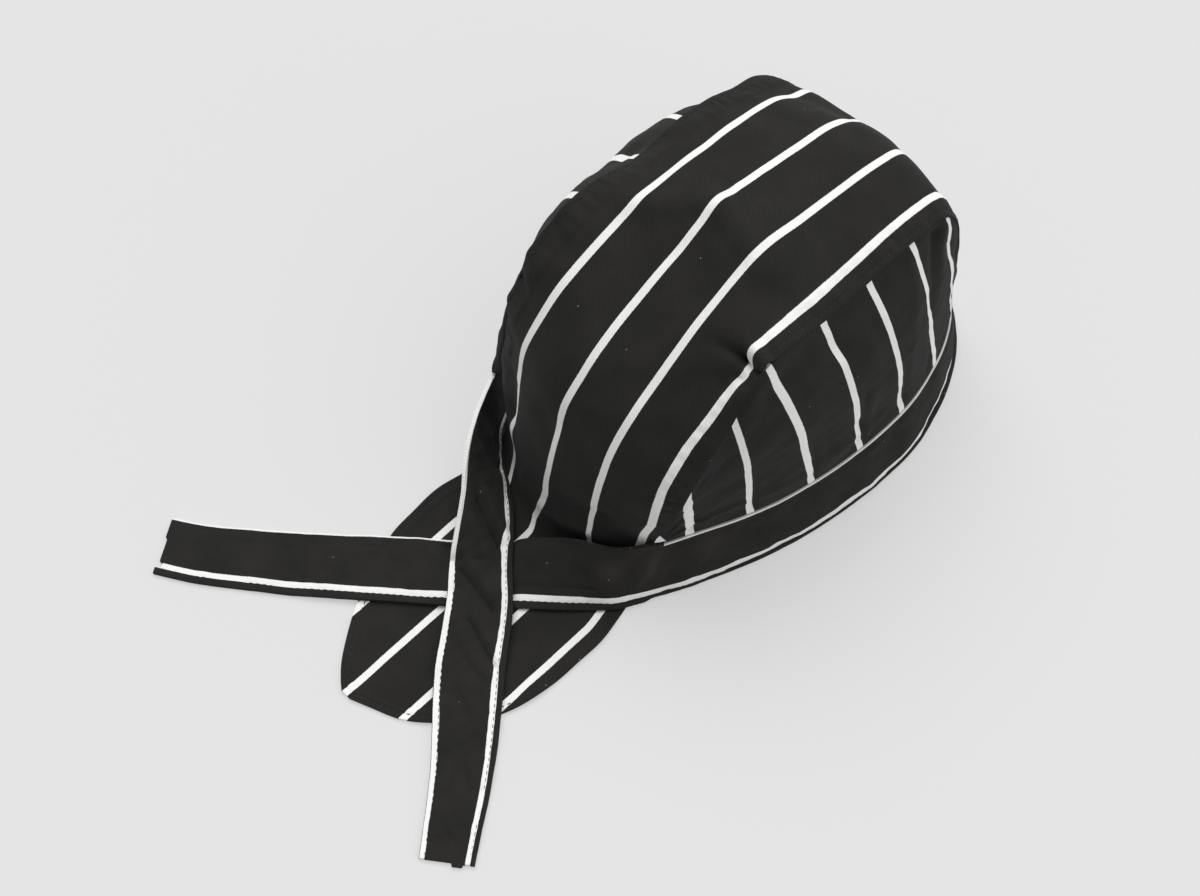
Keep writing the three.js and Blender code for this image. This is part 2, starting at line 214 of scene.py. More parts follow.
# where the cap stands in the frame: its forehead and its widest side meet the headband's node
bandEdges = bandPoints(np.linspace(0, bandLast, 200)[:, None], np.linspace(0, 1, 3)[None, :])
bandLow = bandEdges.reshape(-1, 3).min(0)
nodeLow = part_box("headband")[0]
nodeInset = 1.1                     # the middle of the wall lies this far inside the node's box
capOrigin = np.array([nodeLow[k] * 1000 - bandLow[k] + nodeInset for k in (0, 1)] + [0.0])

# The centre panel, from the forehead over the crown and down to the tail.
crownTable = {
    "columns": ("xRight", "yRight", "zRight", "yMiddle", "zMiddle", "xLeft", "yLeft", "zLeft"),
    "rows": [
        (1.00, 0.080, 0.00, 0.038, 0.00, 1.00, 0.080, 0.00),
        (1.00, 0.105, 0.31, 0.060, 0.31, 1.00, 0.102, 0.33),
        (1.00, 0.132, 0.58, 0.090, 0.60, 1.00, 0.132, 0.60),
        (1.00, 0.176, 0.74, 0.136, 0.77, 1.00, 0.195, 0.74),
        (1.00, 0.238, 0.79, 0.208, 0.85, 1.00, 0.265, 0.79),
        (1.00, 0.325, 0.81, 0.324, 0.91, 1.00, 0.335, 0.85),
        (1.00, 0.430, 0.81, 0.440, 0.96, 1.00, 0.430, 0.88),
        (1.00, 0.537, 0.82, 0.536, 1.00, 1.00, 0.527, 0.86),
        (1.00, 0.620, 0.85, 0.594, 0.96, 1.00, 0.604, 0.91),
        (1.00, 0.690, 0.85, 0.655, 0.90, 1.00, 0.665, 0.94),
        (1.00, 0.739, 0.79, 0.739, 0.83, 1.00, 0.739, 0.93),
        (1.00, 0.786, 0.65, 0.826, 0.76, 1.00, 0.815, 0.85),
        (1.00, 0.840, 0.54, 0.903, 0.67, 1.00, 0.860, 0.72),
        (1.00, 0.890, 0.42, 0.957, 0.54, 1.02, 0.884, 0.57),
        (0.98, 0.918, 0.29, 0.988, 0.34, 1.05, 0.892, 0.38),
        (0.92, 0.930, 0.15, 1.002, 0.17, 1.09, 0.896, 0.19),
        (0.84, 0.936, 0.00, 1.010, 0.00, 1.10, 0.900, 0.00),
    ],
}
footRows = [  # y from here on: share of the tail's length beyond the back corners
    (0.85, -0.090, 0.50, 0.030, 0.50, 1.02, -0.165, 0.50),
    (0.87, -0.045, 0.15, 0.055, 0.15, 0.97, -0.125, 0.14),
    (0.90, 0.020, 0.00, 0.100, 0.00, 0.92, -0.060, 0.00),
]
tailRows = [
    (0.95, 0.110, 0, 0.160, 0, 0.94, 0.070, 0),
    (1.00, 0.220, 0, 0.240, 0, 1.00, 0.215, 0),
    (1.00, 0.340, 0, 0.340, 0, 0.99, 0.340, 0),
    (0.99, 0.460, 0, 0.460, 0, 0.96, 0.460, 0),
    (0.95, 0.575, 0, 0.575, 0, 0.86, 0.575, 0),
    (0.86, 0.680, 0, 0.680, 0, 0.75, 0.680, 0),
    (0.72, 0.765, 0, 0.765, 0, 0.65, 0.765, 0),
    (0.56, 0.845, 0, 0.845, 0, 0.53, 0.845, 0),
    (0.34, 0.920, 0, 0.920, 0, 0.40, 0.920, 0),
    (0.06, 0.970, 0, 0.970, 0, 0.28, 0.970, 0),
    (-0.10, 0.997, 0, 0.997, 0, 0.20, 0.997, 0),
]


def inMillimetres(row, yStart, yScale, zStart, zScale):
    xR, yR, zR, yM, zM, xL, yL, zL = row
    return (xR, yStart + yR * yScale, zStart + zR * zScale, yStart + yM * yScale, zStart + zM * zScale,
            xL, yStart + yL * yScale, zStart + zL * zScale)


panelTable = {
    "columns": crownTable["columns"],
    "rows": [inMillimetres(r, frontY, cap["rimLength"], bandTop, cap["crownHeight"] - bandTop)
             for r in crownTable["rows"]]
    + [inMillimetres(r, backY, cap["tailLength"], 0, bandTop) for r in footRows + tailRows],
}
seamEnd = len(crownTable["rows"]) - 1
tailStart = seamEnd + len(footRows)
cutStart = tailStart + 2            # from here the hem is cut to the tail's outline
panelLast = len(panelTable["rows"]) - 1


# u is -1 at the panel's right seam and 1 at its left seam; the points are on its inner face. Along the
# crown the cloth laps over the side panels by a little, as panelLap says.
panelLap = 1.7


def panelReach(t, u):
    onCrown = smoothStep(0.5, 1.5, t) * (1 - smoothStep(seamEnd - 0.8, seamEnd + 0.4, t))
    return u * (1 + panelLap / panelHalf * onCrown)


def panelPoints(t, u):
    t, u = np.broadcast_arrays(np.asarray(t, float), np.asarray(u, float))
    r = rowAt(panelTable, t)

    def across(right, middle, left):
        return middle + u * (left - right) / 2 + u * u * ((left + right) / 2 - middle)
    x = panelHalf * across(-r["xRight"], (r["xLeft"] - r["xRight"]) / 2, r["xLeft"])
    y = across(r["yRight"], r["yMiddle"], r["yLeft"])
    z = np.where(t >= tailStart, 0, np.maximum(0, across(r["zRight"], r["zMiddle"], r["zLeft"])))
    points = np.stack([x, y, z], -1)
    fine = np.linspace(frontMiddle - 4, frontMiddle + 4, 400)
    edge = bandPoints(fine, 1.0)
    s = np.interp(-x, -edge[:, 0], fine)
    foot = bandPoints(s, np.ones_like(s))
    foot[..., 2] += 2 * cap["seamGap"]
    share = np.clip(t, 0, 1)[..., None]
    return np.where(t[..., None] > 1, points, foot * (1 - share) + points * share)


# The side panels, between the headband and the crown seams.
# Each bulges out by these shares of the crown's height, from the forehead to the back.
bulges = {
    -1: (0.000, 0.010, 0.045, 0.052, 0.050, 0.045, 0.018, 0.000),
    1: (0.000, 0.030, 0.075, 0.092, 0.092, 0.075, 0.035, 0.000),
}
bulgePeak = 0.58                    # how far up the panel it bulges most


# side is -1 for the wearer's right; q runs from the headband (0) to the seam (1).
def sidePoints(side, t, q):
    t, q = np.broadcast_arrays(np.asarray(t, float), np.asarray(q, float))
    u = np.full(t.shape, float(side))
    seam = panelPoints(t, u)
    along = panelPoints(t + 0.02, u) - panelPoints(t - 0.02, u)
    along /= np.linalg.norm(along, axis=-1, keepdims=True)
    away = np.array([side, 0, -0.35])
    away = away - along * (along @ away)[..., None]
    away /= np.linalg.norm(away, axis=-1, keepdims=True)
    start = float(panelPoints(0, side)[1])
    end = float(panelPoints(seamEnd, side)[1])
    share = np.clip((seam[..., 1] - start) / (end - start), 0, 1)
    seam = seam + away * (cap["panelWall"] + cap["seamGap"])

    corner = bandLast - 0.15 if side < 0 else 0.15
    fine = np.linspace(frontMiddle - side * 2, corner, 400)
    edge = bandPoints(fine, 1.0)
    yFoot = start + share * (float(bandPoints(corner, 1)[1]) - start)
    s = np.interp(yFoot, edge[:, 1], fine)
    foot = bandPoints(s, np.ones_like(s))
    foot[..., 2] += 2 * cap["seamGap"] + cap["panelWall"] / 2

    bulgeTable = {"columns": ("bulge",), "rows": [(bulge,) for bulge in bulges[side]]}
    full = rowAt(bulgeTable, share * (len(bulges[side]) - 1))["bulge"] * cap["crownHeight"]
    points = foot + (seam - foot) * q[..., None]
    points[..., 0] += side * full * np.sin(math.pi * q ** (math.log(0.5) / math.log(bulgePeak)))
    return points


# Folds run from one place on the cloth to another, in millimetres of the cloth itself. Their height
# is positive where the cloth stands out and negative where it falls in.
def foldHeight(table, ca, cb):
    total = np.zeros(ca.shape)
    for a0, b0, a1, b1, width, startHeight, endHeight in table["rows"]:
        da, db = a1 - a0, b1 - b0
        s = np.clip(((ca - a0) * da + (cb - b0) * db) / (da * da + db * db), 0, 1)
        off = np.hypot(ca - a0 - s * da, cb - b0 - s * db)
        total += (startHeight + (endHeight - startHeight) * s) * np.exp(-(off / width) ** 2)
    return total


foldColumns = ("fromAcross", "fromAlong", "toAcross", "toAlong", "width", "startHeight", "endHeight")


# A form knows where its cloth lies, its own millimetres, its relief and its wall.
def surface(form, t, u):
    t, u = np.broadcast_arrays(np.asarray(t, float), np.asarray(u, float))
    place, h = form["place"], 0.01
    over = place(t, np.minimum(u + h, 1)) - place(t, np.maximum(u - h, -1))
    down = place(np.minimum(t + h, form["last"]), u) - place(np.maximum(t - h, form["first"]), u)
    normal = np.cross(over, down) * form.get("side", 1)
    normal /= np.maximum(np.linalg.norm(normal, axis=-1, keepdims=True), 1e-9)
    ca, cb = form["cloth"](t, u)
    return place(t, u) + normal * form["relief"](t, u, ca, cb)[..., None], normal, ca, cb


def lengthAlong(place, first, last, u, count=500):
    t = np.linspace(first, last, count)
    points = place(t, np.full(count, float(u)))
    return t, np.concatenate([[0], np.cumsum(np.linalg.norm(np.diff(points, axis=0), axis=1))])


# A sheet starts as a flat grid whose corners are laid on the form, then gets its wall and soft rims.
def makeCloth(name, form, steps, across, edge=0.35):
    bpy.ops.mesh.primitive_grid_add(x_subdivisions=across, y_subdivisions=steps, size=2)
    cloth = bpy.context.active_object
    cloth.name = name
    mesh = cloth.data
    flat = np.empty(len(mesh.vertices) * 3)
    mesh.vertices.foreach_get("co", flat)
    flat = flat.reshape(-1, 3)
    u = flat[:, 0] * form.get("side", 1)
    t = form["first"] + (form["last"] - form["first"]) * (flat[:, 1] + 1) / 2
    points, normal, ca, cb = surface(form, t, u)
    points[:, 2] = np.maximum(points[:, 2], form["wall"] / 2)
    mesh.vertices.foreach_set("co", ((points + capOrigin) * 0.001).ravel())
    uv = mesh.uv_layers[0]
    uv.name = "cloth"
    corner = np.empty(len(mesh.loops), int)
    mesh.loops.foreach_get("vertex_index", corner)
    uv.data.foreach_set("uv", (np.stack([ca, cb], -1)[corner] * 0.001).ravel())
    mesh.update()
    wall = cloth.modifiers.new("wall", "SOLIDIFY")
    wall.thickness, wall.offset = form["wall"] * 0.001, 0
    bpy.ops.object.modifier_apply(modifier="wall")
    rim = cloth.modifiers.new("rim", "BEVEL")
    rim.width, rim.segments, rim.limit_method, rim.angle_limit = edge * 0.001, 2, "ANGLE", math.radians(50)
    bpy.ops.object.modifier_apply(modifier="rim")
    bpy.ops.object.shade_smooth_by_angle(angle=math.radians(40))
    bpy.ops.object.select_all(action="DESELECT")
    print(name, len(mesh.polygons), "faces")
    return cloth


thread = {"pitch": 2.7, "length": 2.0, "thickness": 0.42, "colour": (0.010, 0.0095, 0.009, 1)}


# Stitches lie along a path on a form, half sunk in the cloth, on its outer face (1) or inner (-1).
def makeStitches(name, form, paths, pitch=None, length=None, thickness=None):
    pitch, length = pitch or thread["pitch"], length or thread["length"]
    thickness = thickness or thread["thickness"]
    bpy.ops.mesh.primitive_uv_sphere_add(segments=6, ring_count=5, radius=0.5)
    stitch = bpy.context.active_object
    copies = []
    for t, u, face in paths:
        points, normal, ca, cb = surface(form, t, u)
        step = np.concatenate([[0], np.cumsum(np.linalg.norm(np.diff(points, axis=0), axis=1))])
        for s in np.arange(pitch * 0.6, step[-1] - pitch * 0.6, pitch):
            here = np.array([np.interp(s, step, points[:, k]) for k in range(3)])
            ahead = np.array([np.interp(s + length / 2, step, points[:, k]) for k in range(3)])
            behind = np.array([np.interp(s - length / 2, step, points[:, k]) for k in range(3)])
            up = np.array([np.interp(s, step, normal[:, k]) for k in range(3)]) * face
            along = (ahead - behind) / np.linalg.norm(ahead - behind)
            sideways = np.cross(up, along)
            sideways /= np.linalg.norm(sideways)
            up = np.cross(along, sideways)
            here = here + up * (form["wall"] / 2 + thickness * 0.12)
            turn = Matrix((along * length, sideways * thickness, up * thickness)).transposed().to_4x4()
            turn = Matrix.Translation((here + capOrigin) * 0.001) @ Matrix.Scale(0.001, 4) @ turn
            copy = stitch.copy()
            copy.data = stitch.data.copy()
            copy.data.transform(turn)
            bpy.context.collection.objects.link(copy)
            copies.append(copy)
    bpy.data.objects.remove(stitch)
    bpy.ops.object.select_all(action="DESELECT")
    for copy in copies:
        copy.select_set(True)
    bpy.context.view_layer.objects.active = copies[0]
    bpy.ops.object.join()
    line = bpy.context.active_object
    line.name = name
    bpy.ops.object.shade_smooth()
    bpy.ops.object.select_all(action="DESELECT")
    line.data.materials.clear()
    line.data.materials.append(threadFinish)
    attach(line, "root")
    print(name, len(copies), "stitches")


twill = {
    "black": (0.0172, 0.0166, 0.0158, 1), "white": (0.86, 0.855, 0.84, 1),
    "thin": (0.0245, 0.0236, 0.0225, 1),
    "pitch": 25.0, "stripe": 3.1, "ribs": 0.9, "ribHeight": 0.10, "roughness": 0.9, "sheen": 0.03,
    "lint": (0.22, 0.21, 0.20, 1), "faded": (0.056, 0.045, 0.036, 1),
}


def newNode(tree, kind, **values):
    node = tree.nodes.new(kind)
    for name, value in values.items():
        setattr(node, name, value)
    return node


def calc(tree, operation, a, b=None, c=None):
    node = newNode(tree, "ShaderNodeMath", operation=operation)
    for k, value in enumerate((a, b, c)):
        if value is None:
            continue
        if isinstance(value, (int, float)):
            node.inputs[k].default_value = value
        else:
            tree.links.new(value, node.inputs[k])
    return node.outputs[0]


def spread(tree, value, low, high):
    node = newNode(tree, "ShaderNodeMapRange", interpolation_type="SMOOTHSTEP")
    node.inputs["From Min"].default_value = low
    node.inputs["From Max"].default_value = high
    tree.links.new(value, node.inputs["Value"])
    return node.outputs[0]


def blend(tree, share, a, b):
    node = newNode(tree, "ShaderNodeMix", data_type="RGBA")
    for key, value in (("A", a), ("B", b)):
        if isinstance(value, tuple):
            node.inputs[key].default_value = value
        else:
            tree.links.new(value, node.inputs[key])
    tree.links.new(share, node.inputs["Factor"])
    return node.outputs["Result"]


# centre is where one stripe lies across the cloth; fades are worn places, (along, across, radius).
def twillMaterial(name, centre, stripe, axis=0, fades=(), pitch=None):
    pitch = pitch or twill["pitch"]
    material = bpy.data.materials.new(name)
    material.use_nodes = True
    tree = material.node_tree
    shader = tree.nodes["Principled BSDF"]
    uv = newNode(tree, "ShaderNodeUVMap", uv_map="cloth")
    parts = newNode(tree, "ShaderNodeSeparateXYZ")
    tree.links.new(uv.outputs[0], parts.inputs[0])
    acrossCloth, alongCloth = parts.outputs[axis], parts.outputs[1 - axis]

    # stripes, their edges wandering by a thread
    noise = newNode(tree, "ShaderNodeTexNoise", noise_dimensions="2D")
    noise.inputs["Scale"].default_value = 1500
    tree.links.new(uv.outputs[0], noise.inputs["Vector"])
    place = calc(tree, "MULTIPLY_ADD", noise.outputs[0], 0.00024, -0.00012)
    place = calc(tree, "ADD", acrossCloth, place)
    place = calc(tree, "ADD", place, (pitch * 40.5 - centre) * 0.001)
    place = calc(tree, "MODULO", place, pitch * 0.001)
    place = calc(tree, "ABSOLUTE", calc(tree, "SUBTRACT", place, pitch * 0.0005))
    mask = spread(tree, place, stripe * 0.0005 + 0.0001, stripe * 0.0005 - 0.0001)

    # the weave is a shade thinner here and there, and its ribs run slantwise
    patchy = newNode(tree, "ShaderNodeTexNoise", noise_dimensions="2D")
    patchy.inputs["Scale"].default_value = 60
    patchy.inputs["Detail"].default_value = 4
    tree.links.new(uv.outputs[0], patchy.inputs["Vector"])
    ribs = calc(tree, "MULTIPLY", calc(tree, "ADD", acrossCloth, calc(tree, "MULTIPLY", alongCloth, 0.8)),
                2 * math.pi / (twill["ribs"] * 0.00128))
    ribs = calc(tree, "SINE", ribs)
    thin = calc(tree, "MULTIPLY_ADD", ribs, 0.22, patchy.outputs[0])
    cloth = blend(tree, spread(tree, thin, 0.2, 0.9), twill["black"], twill["thin"])
    for along, across, radius in fades:
        offAlong = calc(tree, "SUBTRACT", alongCloth, along * 0.001)
        offAcross = calc(tree, "SUBTRACT", acrossCloth, across * 0.001)
        off = calc(tree, "ADD", calc(tree, "POWER", offAlong, 2.0), calc(tree, "POWER", offAcross, 2.0))
        off = calc(tree, "MULTIPLY_ADD", patchy.outputs[0], radius * 0.0012, calc(tree, "SQRT", off))
        share = calc(tree, "MULTIPLY", spread(tree, off, radius * 0.0018, radius * 0.0004), 0.5)
        cloth = blend(tree, share, cloth, twill["faded"])
    colour = blend(tree, mask, cloth, twill["white"])

    # a few specks of lint
    specks = newNode(tree, "ShaderNodeTexVoronoi", voronoi_dimensions="2D")
    specks.inputs["Scale"].default_value = 42
    tree.links.new(uv.outputs[0], specks.inputs["Vector"])
    pick = newNode(tree, "ShaderNodeSeparateColor")
    tree.links.new(specks.outputs["Color"], pick.inputs[0])
    size = calc(tree, "MULTIPLY", calc(tree, "GREATER_THAN", pick.outputs[0], 0.86), 0.010)
    speck = calc(tree, "LESS_THAN", specks.outputs["Distance"], size)
    colour = blend(tree, speck, colour, twill["lint"])
    tree.links.new(colour, shader.inputs["Base Color"])

    bump = newNode(tree, "ShaderNodeBump")
    bump.inputs["Strength"].default_value = 0.5
    bump.inputs["Distance"].default_value = twill["ribHeight"] * 0.001
    fuzz = newNode(tree, "ShaderNodeTexNoise", noise_dimensions="2D")
    fuzz.inputs["Scale"].default_value = 1100
    tree.links.new(uv.outputs[0], fuzz.inputs["Vector"])
    tree.links.new(calc(tree, "ADD", ribs, fuzz.outputs[0]), bump.inputs["Height"])
    tree.links.new(bump.outputs[0], shader.inputs["Normal"])
    shader.inputs["Roughness"].default_value = twill["roughness"]
    shader.inputs["Specular IOR Level"].default_value = 0.12
    shader.inputs["Sheen Weight"].default_value = twill["sheen"]
    shader.inputs["Sheen Roughness"].default_value = 0.5
    return material


threadFinish = bpy.data.materials.new("black_thread")
threadFinish.use_nodes = True
threadShader = threadFinish.node_tree.nodes["Principled BSDF"]
threadShader.inputs["Base Color"].default_value = thread["colour"]
threadShader.inputs["Roughness"].default_value = 0.6


def dress(piece, material, node):
    piece.data.materials.clear()
    piece.data.materials.append(material)
    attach(piece, "root")
    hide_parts(node)


# Folds and dents of the centre panel.
panelFolds = {
    "columns": foldColumns,
    "rows": [
        (-54, 208, -40, 210, 2.8, -4.2, -5.0),    # sharp dent at the right seam
        (-38, 210, -24, 216, 2.8, -3.4, -0.4),
        (-54, 201, -30, 203, 3.6, 3.0, 0.4),      # swell in front of it
        (-43, 218, -38, 226, 6.5, -4.2, -3.4),    # hollow behind it
        (-37, 184, -32, 184, 5.5, -1.0, -1.0),
        (38, 197, 22, 186, 5.5, 1.4, 1.5),        # ridge across the top of the crown
        (20, 184, 8, 174, 5.5, 1.3, 1.5),
        (5, 174, -22, 182, 5.0, 1.2, 1.1),
        (30, 208, -8, 192, 7.0, -0.9, -0.6),
        (12, 160, -6, 168, 2.2, 0.35, 0.3),       # fine ripples on the crown
        (14, 152, -4, 161, 2.2, -0.3, 0.35),
        (6, 148, -10, 156, 2.4, 0.35, 0.3),
        (-12, 140, -26, 150, 2.6, -0.35, 0.3),
        (32, 88, 12, 86, 10.0, -3.6, -3.0),       # soft dents over the forehead
        (-30, 90, -52, 90, 9.0, 1.0, 1.6),
        (24, 98, 18, 112, 6.0, -0.9, -0.4),
        (-2, 98, -8, 116, 6.0, -1.2, -0.4),
        (44, 118, 34, 132, 6.0, -1.0, -0.3),
        (-20, 60, 16, 66, 9.0, -1.8, -1.2),
        (-30, 30, -22, 72, 7.0, 1.3, 0.2),
        (26, 26, 30, 74, 7.0, 1.0, 0.4),
        (49, 226, 38, 232, 4.0, -1.8, -0.5),      # puckers along the left seam
        (50, 242, 40, 246, 4.0, 1.6, 0.5),
        (50, 256, 42, 260, 3.5, -1.8, -0.4),
        (50, 270, 40, 276, 4.5, 1.5, 0.4),
        (-30, 236, 8, 266, 9.0, -0.5, -0.9),      # slanting hollows and a swell down the back
        (-30, 262, 14, 292, 9.0, -0.6, -2.0),
        (-18, 304, 12, 322, 7.0, 0.2, 0.4),
        (38, 306, 37, 326, 6.0, -2.0, -3.4),      # the wall stands clear of the left tie
        (-22, 326, 4, 334, 5.5, -1.6, -0.6),      # the back tucks in above the ties
        (-26, 342, -4, 346, 4.0, 1.2, 1.8),
        (2, 350, 20, 352, 5.0, 1.6, 1.2),
        (-12, 352, -8, 358, 3.5, -1.0, -1.0),
    ],
}
panelT, panelS = lengthAlong(panelPoints, 0, panelLast, 0)
crownSeam = {"turned": 8.6, "fades": 11.0, "rise": 0.55, "stitch": 2.4}
tailHem = {"turned": 4.5, "rise": 0.45, "stitch": 2.8}
panelStripe = 8.0                   # where one stripe lies, from the middle towards the left


def panelPlace(t, u):
    return panelPoints(t, panelReach(t, u))


# How far the stripes drift towards the right seam, in millimetres. A row is a place along the panel,
# then the drift at each of the places across.
panelCreep = {
    "across": (-0.84, -0.34, 0.16, 0.66),
    "rows": [
        (40, 0.2, 0.6, 0.4, -0.2), (70, 0.3, 1.0, 0.8, -0.6), (100, 0.3, 1.3, 1.0, -1.2),
        (130, 0.5, 1.3, 1.0, 0.2), (155, 1.0, 1.3, 1.0, 1.5), (185, 1.8, 1.3, 1.5, 0.6),
        (205, 1.4, 1.5, 1.5, 0.2), (216, 3.6, 1.6, 1.6, 0.6), (235, 2.0, 2.2, 2.2, 0.8),
        (260, 0.8, 3.2, 3.4, 0.3), (285, 0.9, 3.6, 3.2, 0.0), (300, 1.8, 4.4, 5.4, 1.2),
        (318, 3.6, 6.2, 8.0, 2.4), (338, 3.6, 9.0, 8.0, 2.4), (350, 2.0, 9.0, 4.0, 1.6),
        (362, 0.0, 0.0, 0.0, 0.0),
    ],
}


def creep(along, u):
    rows = np.array(panelCreep["rows"])
    places = panelCreep["across"]
    lines = [np.interp(along, rows[:, 0], rows[:, k + 1], left=rows[0, k + 1]) for k in range(len(places))]
    total = lines[0]
    for k in range(1, len(places)):
        share = smoothStep(places[k - 1], places[k], u)
        total = total + (lines[k] - lines[k - 1]) * share
    return total


def panelCloth(t, u):
    x = panelPoints(t, u)[..., 0]
    along = np.interp(t, panelT, panelS)
    return np.where(t < cutStart, panelReach(t, u) * panelHalf + creep(along, u), x), along


# how far a place on the tail is from the tail's rim
def rimDistance(t, u):
    row = rowAt(panelTable, t)
    half = (row["xLeft"] + row["xRight"]) / 2 * panelHalf
    h = 0.05
    ahead = rowAt(panelTable, np.minimum(t + h, panelLast))
    behind = rowAt(panelTable, t - h)
    key = np.where(u < 0, 0, 1)
    dx = np.where(key == 0, ahead["xRight"] - behind["xRight"], ahead["xLeft"] - behind["xLeft"]) * panelHalf
    dy = np.maximum(np.abs(ahead["yMiddle"] - behind["yMiddle"]), 0.01)
    toSide = (1 - np.abs(u)) * half / np.sqrt(1 + (dx / dy) ** 2)
    toEnd = panelS[-1] - np.interp(t, panelT, panelS)
    return np.minimum(toSide, toEnd)


def panelRelief(t, u, ca, cb):
    fromSeam = (1 - np.abs(u)) * (panelHalf + panelLap)
    onCrown = smoothStep(0.6, 1.6, t) * (1 - smoothStep(seamEnd - 1.5, seamEnd, t))
    lap = 1 - smoothStep(crownSeam["turned"], crownSeam["fades"], fromSeam)
    pucker = waves(cb, fromSeam * 0.5, 10, 5, 5) * 0.30 + waves(cb, fromSeam, 24, 6, 5) * 0.22
    seam = lap * (crownSeam["rise"] + pucker * smoothStep(0, 3, fromSeam))
    seam = seam - 0.4 * np.exp(-((fromSeam - crownSeam["stitch"]) / 0.7) ** 2)
    seam = seam - 0.5 * (1 - smoothStep(0, 1.8, fromSeam))
    onWall = smoothStep(0.3, 1.2, t) * (1 - smoothStep(seamEnd + 0.2, tailStart - 0.3, t))
    soft = waves(ca, cb, 75, 11) * 0.18 + waves(ca, cb, 26, 12) * 0.12
    onTail = smoothStep(tailStart, cutStart, t)
    rim = rimDistance(np.maximum(t, tailStart), u)
    hem = (1 - smoothStep(tailHem["turned"], tailHem["turned"] + 1.4, rim)) * tailHem["rise"]
    hem = hem - 0.3 * np.exp(-((rim - tailHem["stitch"]) / 0.6) ** 2)
    ripple = (waves(ca, cb, 48, 14) * 0.5 + 0.6) * 0.5
    return 0.5 * cap["panelWall"] + seam * onCrown + onWall * (soft + foldHeight(panelFolds, ca, cb)) \
        + onTail * (hem + ripple)


panelForm = {
    "place": panelPlace, "cloth": panelCloth, "relief": panelRelief,
    "first": 0, "last": panelLast, "wall": cap["panelWall"],
}
centrePanel = makeCloth("centre_panel_cloth", panelForm, 370, 120)
dress(centrePanel, twillMaterial("panel_twill", panelStripe, twill["stripe"]), "center_panel")

seamT = np.linspace(0.9, seamEnd - 0.1, 900)
makeStitches("crown_topstitch", panelForm, [
    (seamT, np.full(900, side * (1 - crownSeam["stitch"] / (panelHalf + panelLap))), 1)
    for side in (-1, 1)], thickness=0.36)

# the tail's hem is stitched all round its rim, at one distance from it
hemT = np.linspace(tailStart + 0.3, panelLast - 0.02, 700)
hemPaths = []
for side in (-1, 1):
    u = np.linspace(0.3, 1, 400)[None, :] * side
    rim = rimDistance(hemT[:, None] + 0 * u, u + 0 * hemT[:, None])
    far = rim > tailHem["stitch"]
    last = far.shape[1] - 1 - np.argmax(far[:, ::-1], axis=1)
    keep = far.any(axis=1)
    hemPaths.append((hemT[keep], u[0, last[keep]], 1))
makeStitches("tail_topstitch", panelForm, hemPaths, pitch=3.0, length=2.0, thickness=0.5)

# Where the stripes of each side panel meet the headband and the crown's seam, as shares of the rim.
sideStripes = {
    -1: {"feet": (-0.386, -0.272, -0.141, -0.017, 0.109, 0.246, 0.362),
         "tops": (-0.338, -0.226, -0.101, 0.028, 0.181, 0.264, 0.384)},
    1: {"feet": (-0.481, -0.350, -0.220, -0.085, 0.060, 0.240, 0.520),
        "tops": (-0.435, -0.285, -0.135, 0.014, 0.164, 0.314, 0.520)},
}
sideFolds = {
    -1: {"columns": foldColumns, "rows": [
        (174, 4, 171, 46, 1.8, -1.2, -0.2), (168, 6, 166, 40, 2.6, 0.6, 0.1),    # pleats off the headband
        (146, 2, 144, 40, 1.8, -1.1, -0.2), (117, 4, 116, 40, 2.2, -1.1, -0.2),
        (92, 6, 88, 44, 2.2, -1.2, -0.3), (86, 8, 83, 44, 2.6, 0.7, 0.2),
        (66, 6, 62, 44, 2.6, -1.0, -0.2), (44, 6, 42, 40, 2.4, -0.9, -0.2),
        (178, 24, 150, 14, 3.2, 1.3, 1.1), (140, 12, 118, 10, 3.5, 0.9, 0.6),    # light swells over the band
        (104, 12, 78, 12, 4.0, 1.0, 0.8),
        (134, 78, 112, 80, 6.0, -1.8, -1.4), (97, 76, 78, 74, 6.0, -1.3, -0.8),  # pockets under the seam
        (112, 66, 96, 40, 6.0, 1.0, 0.6), (82, 62, 70, 34, 5.5, 0.9, 0.5),
        (32, 86, 41, 46, 3.0, -1.7, -0.7), (26, 84, 33, 46, 3.2, 1.2, 0.5),      # folds near the temple
        (50, 82, 56, 44, 4.0, 0.9, 0.4), (20, 70, 22, 30, 4.0, -1.0, -0.4),
        (158, 70, 152, 40, 4.5, -0.8, -0.3),
    ]},
    1: {"columns": foldColumns, "rows": [
        (176, 4, 172, 46, 2.2, -1.2, -0.2), (150, 4, 148, 42, 2.2, -1.0, -0.2),
        (122, 4, 119, 40, 2.4, -1.1, -0.2), (95, 6, 92, 44, 2.4, -1.0, -0.3),
        (66, 6, 63, 42, 2.6, -1.0, -0.2), (40, 6, 39, 40, 2.6, -0.9, -0.2),
        (168, 16, 138, 12, 3.6, 1.1, 0.9), (110, 12, 84, 12, 4.0, 1.0, 0.7),
        (142, 78, 120, 80, 6.0, -1.3, -1.0), (100, 76, 84, 78, 6.0, -1.2, -0.8),
        (36, 84, 44, 46, 3.4, -1.4, -0.6), (30, 82, 36, 46, 3.4, 1.0, 0.4),
        (88, 84, 56, 78, 9.0, -2.6, -3.2),
    ]},
}


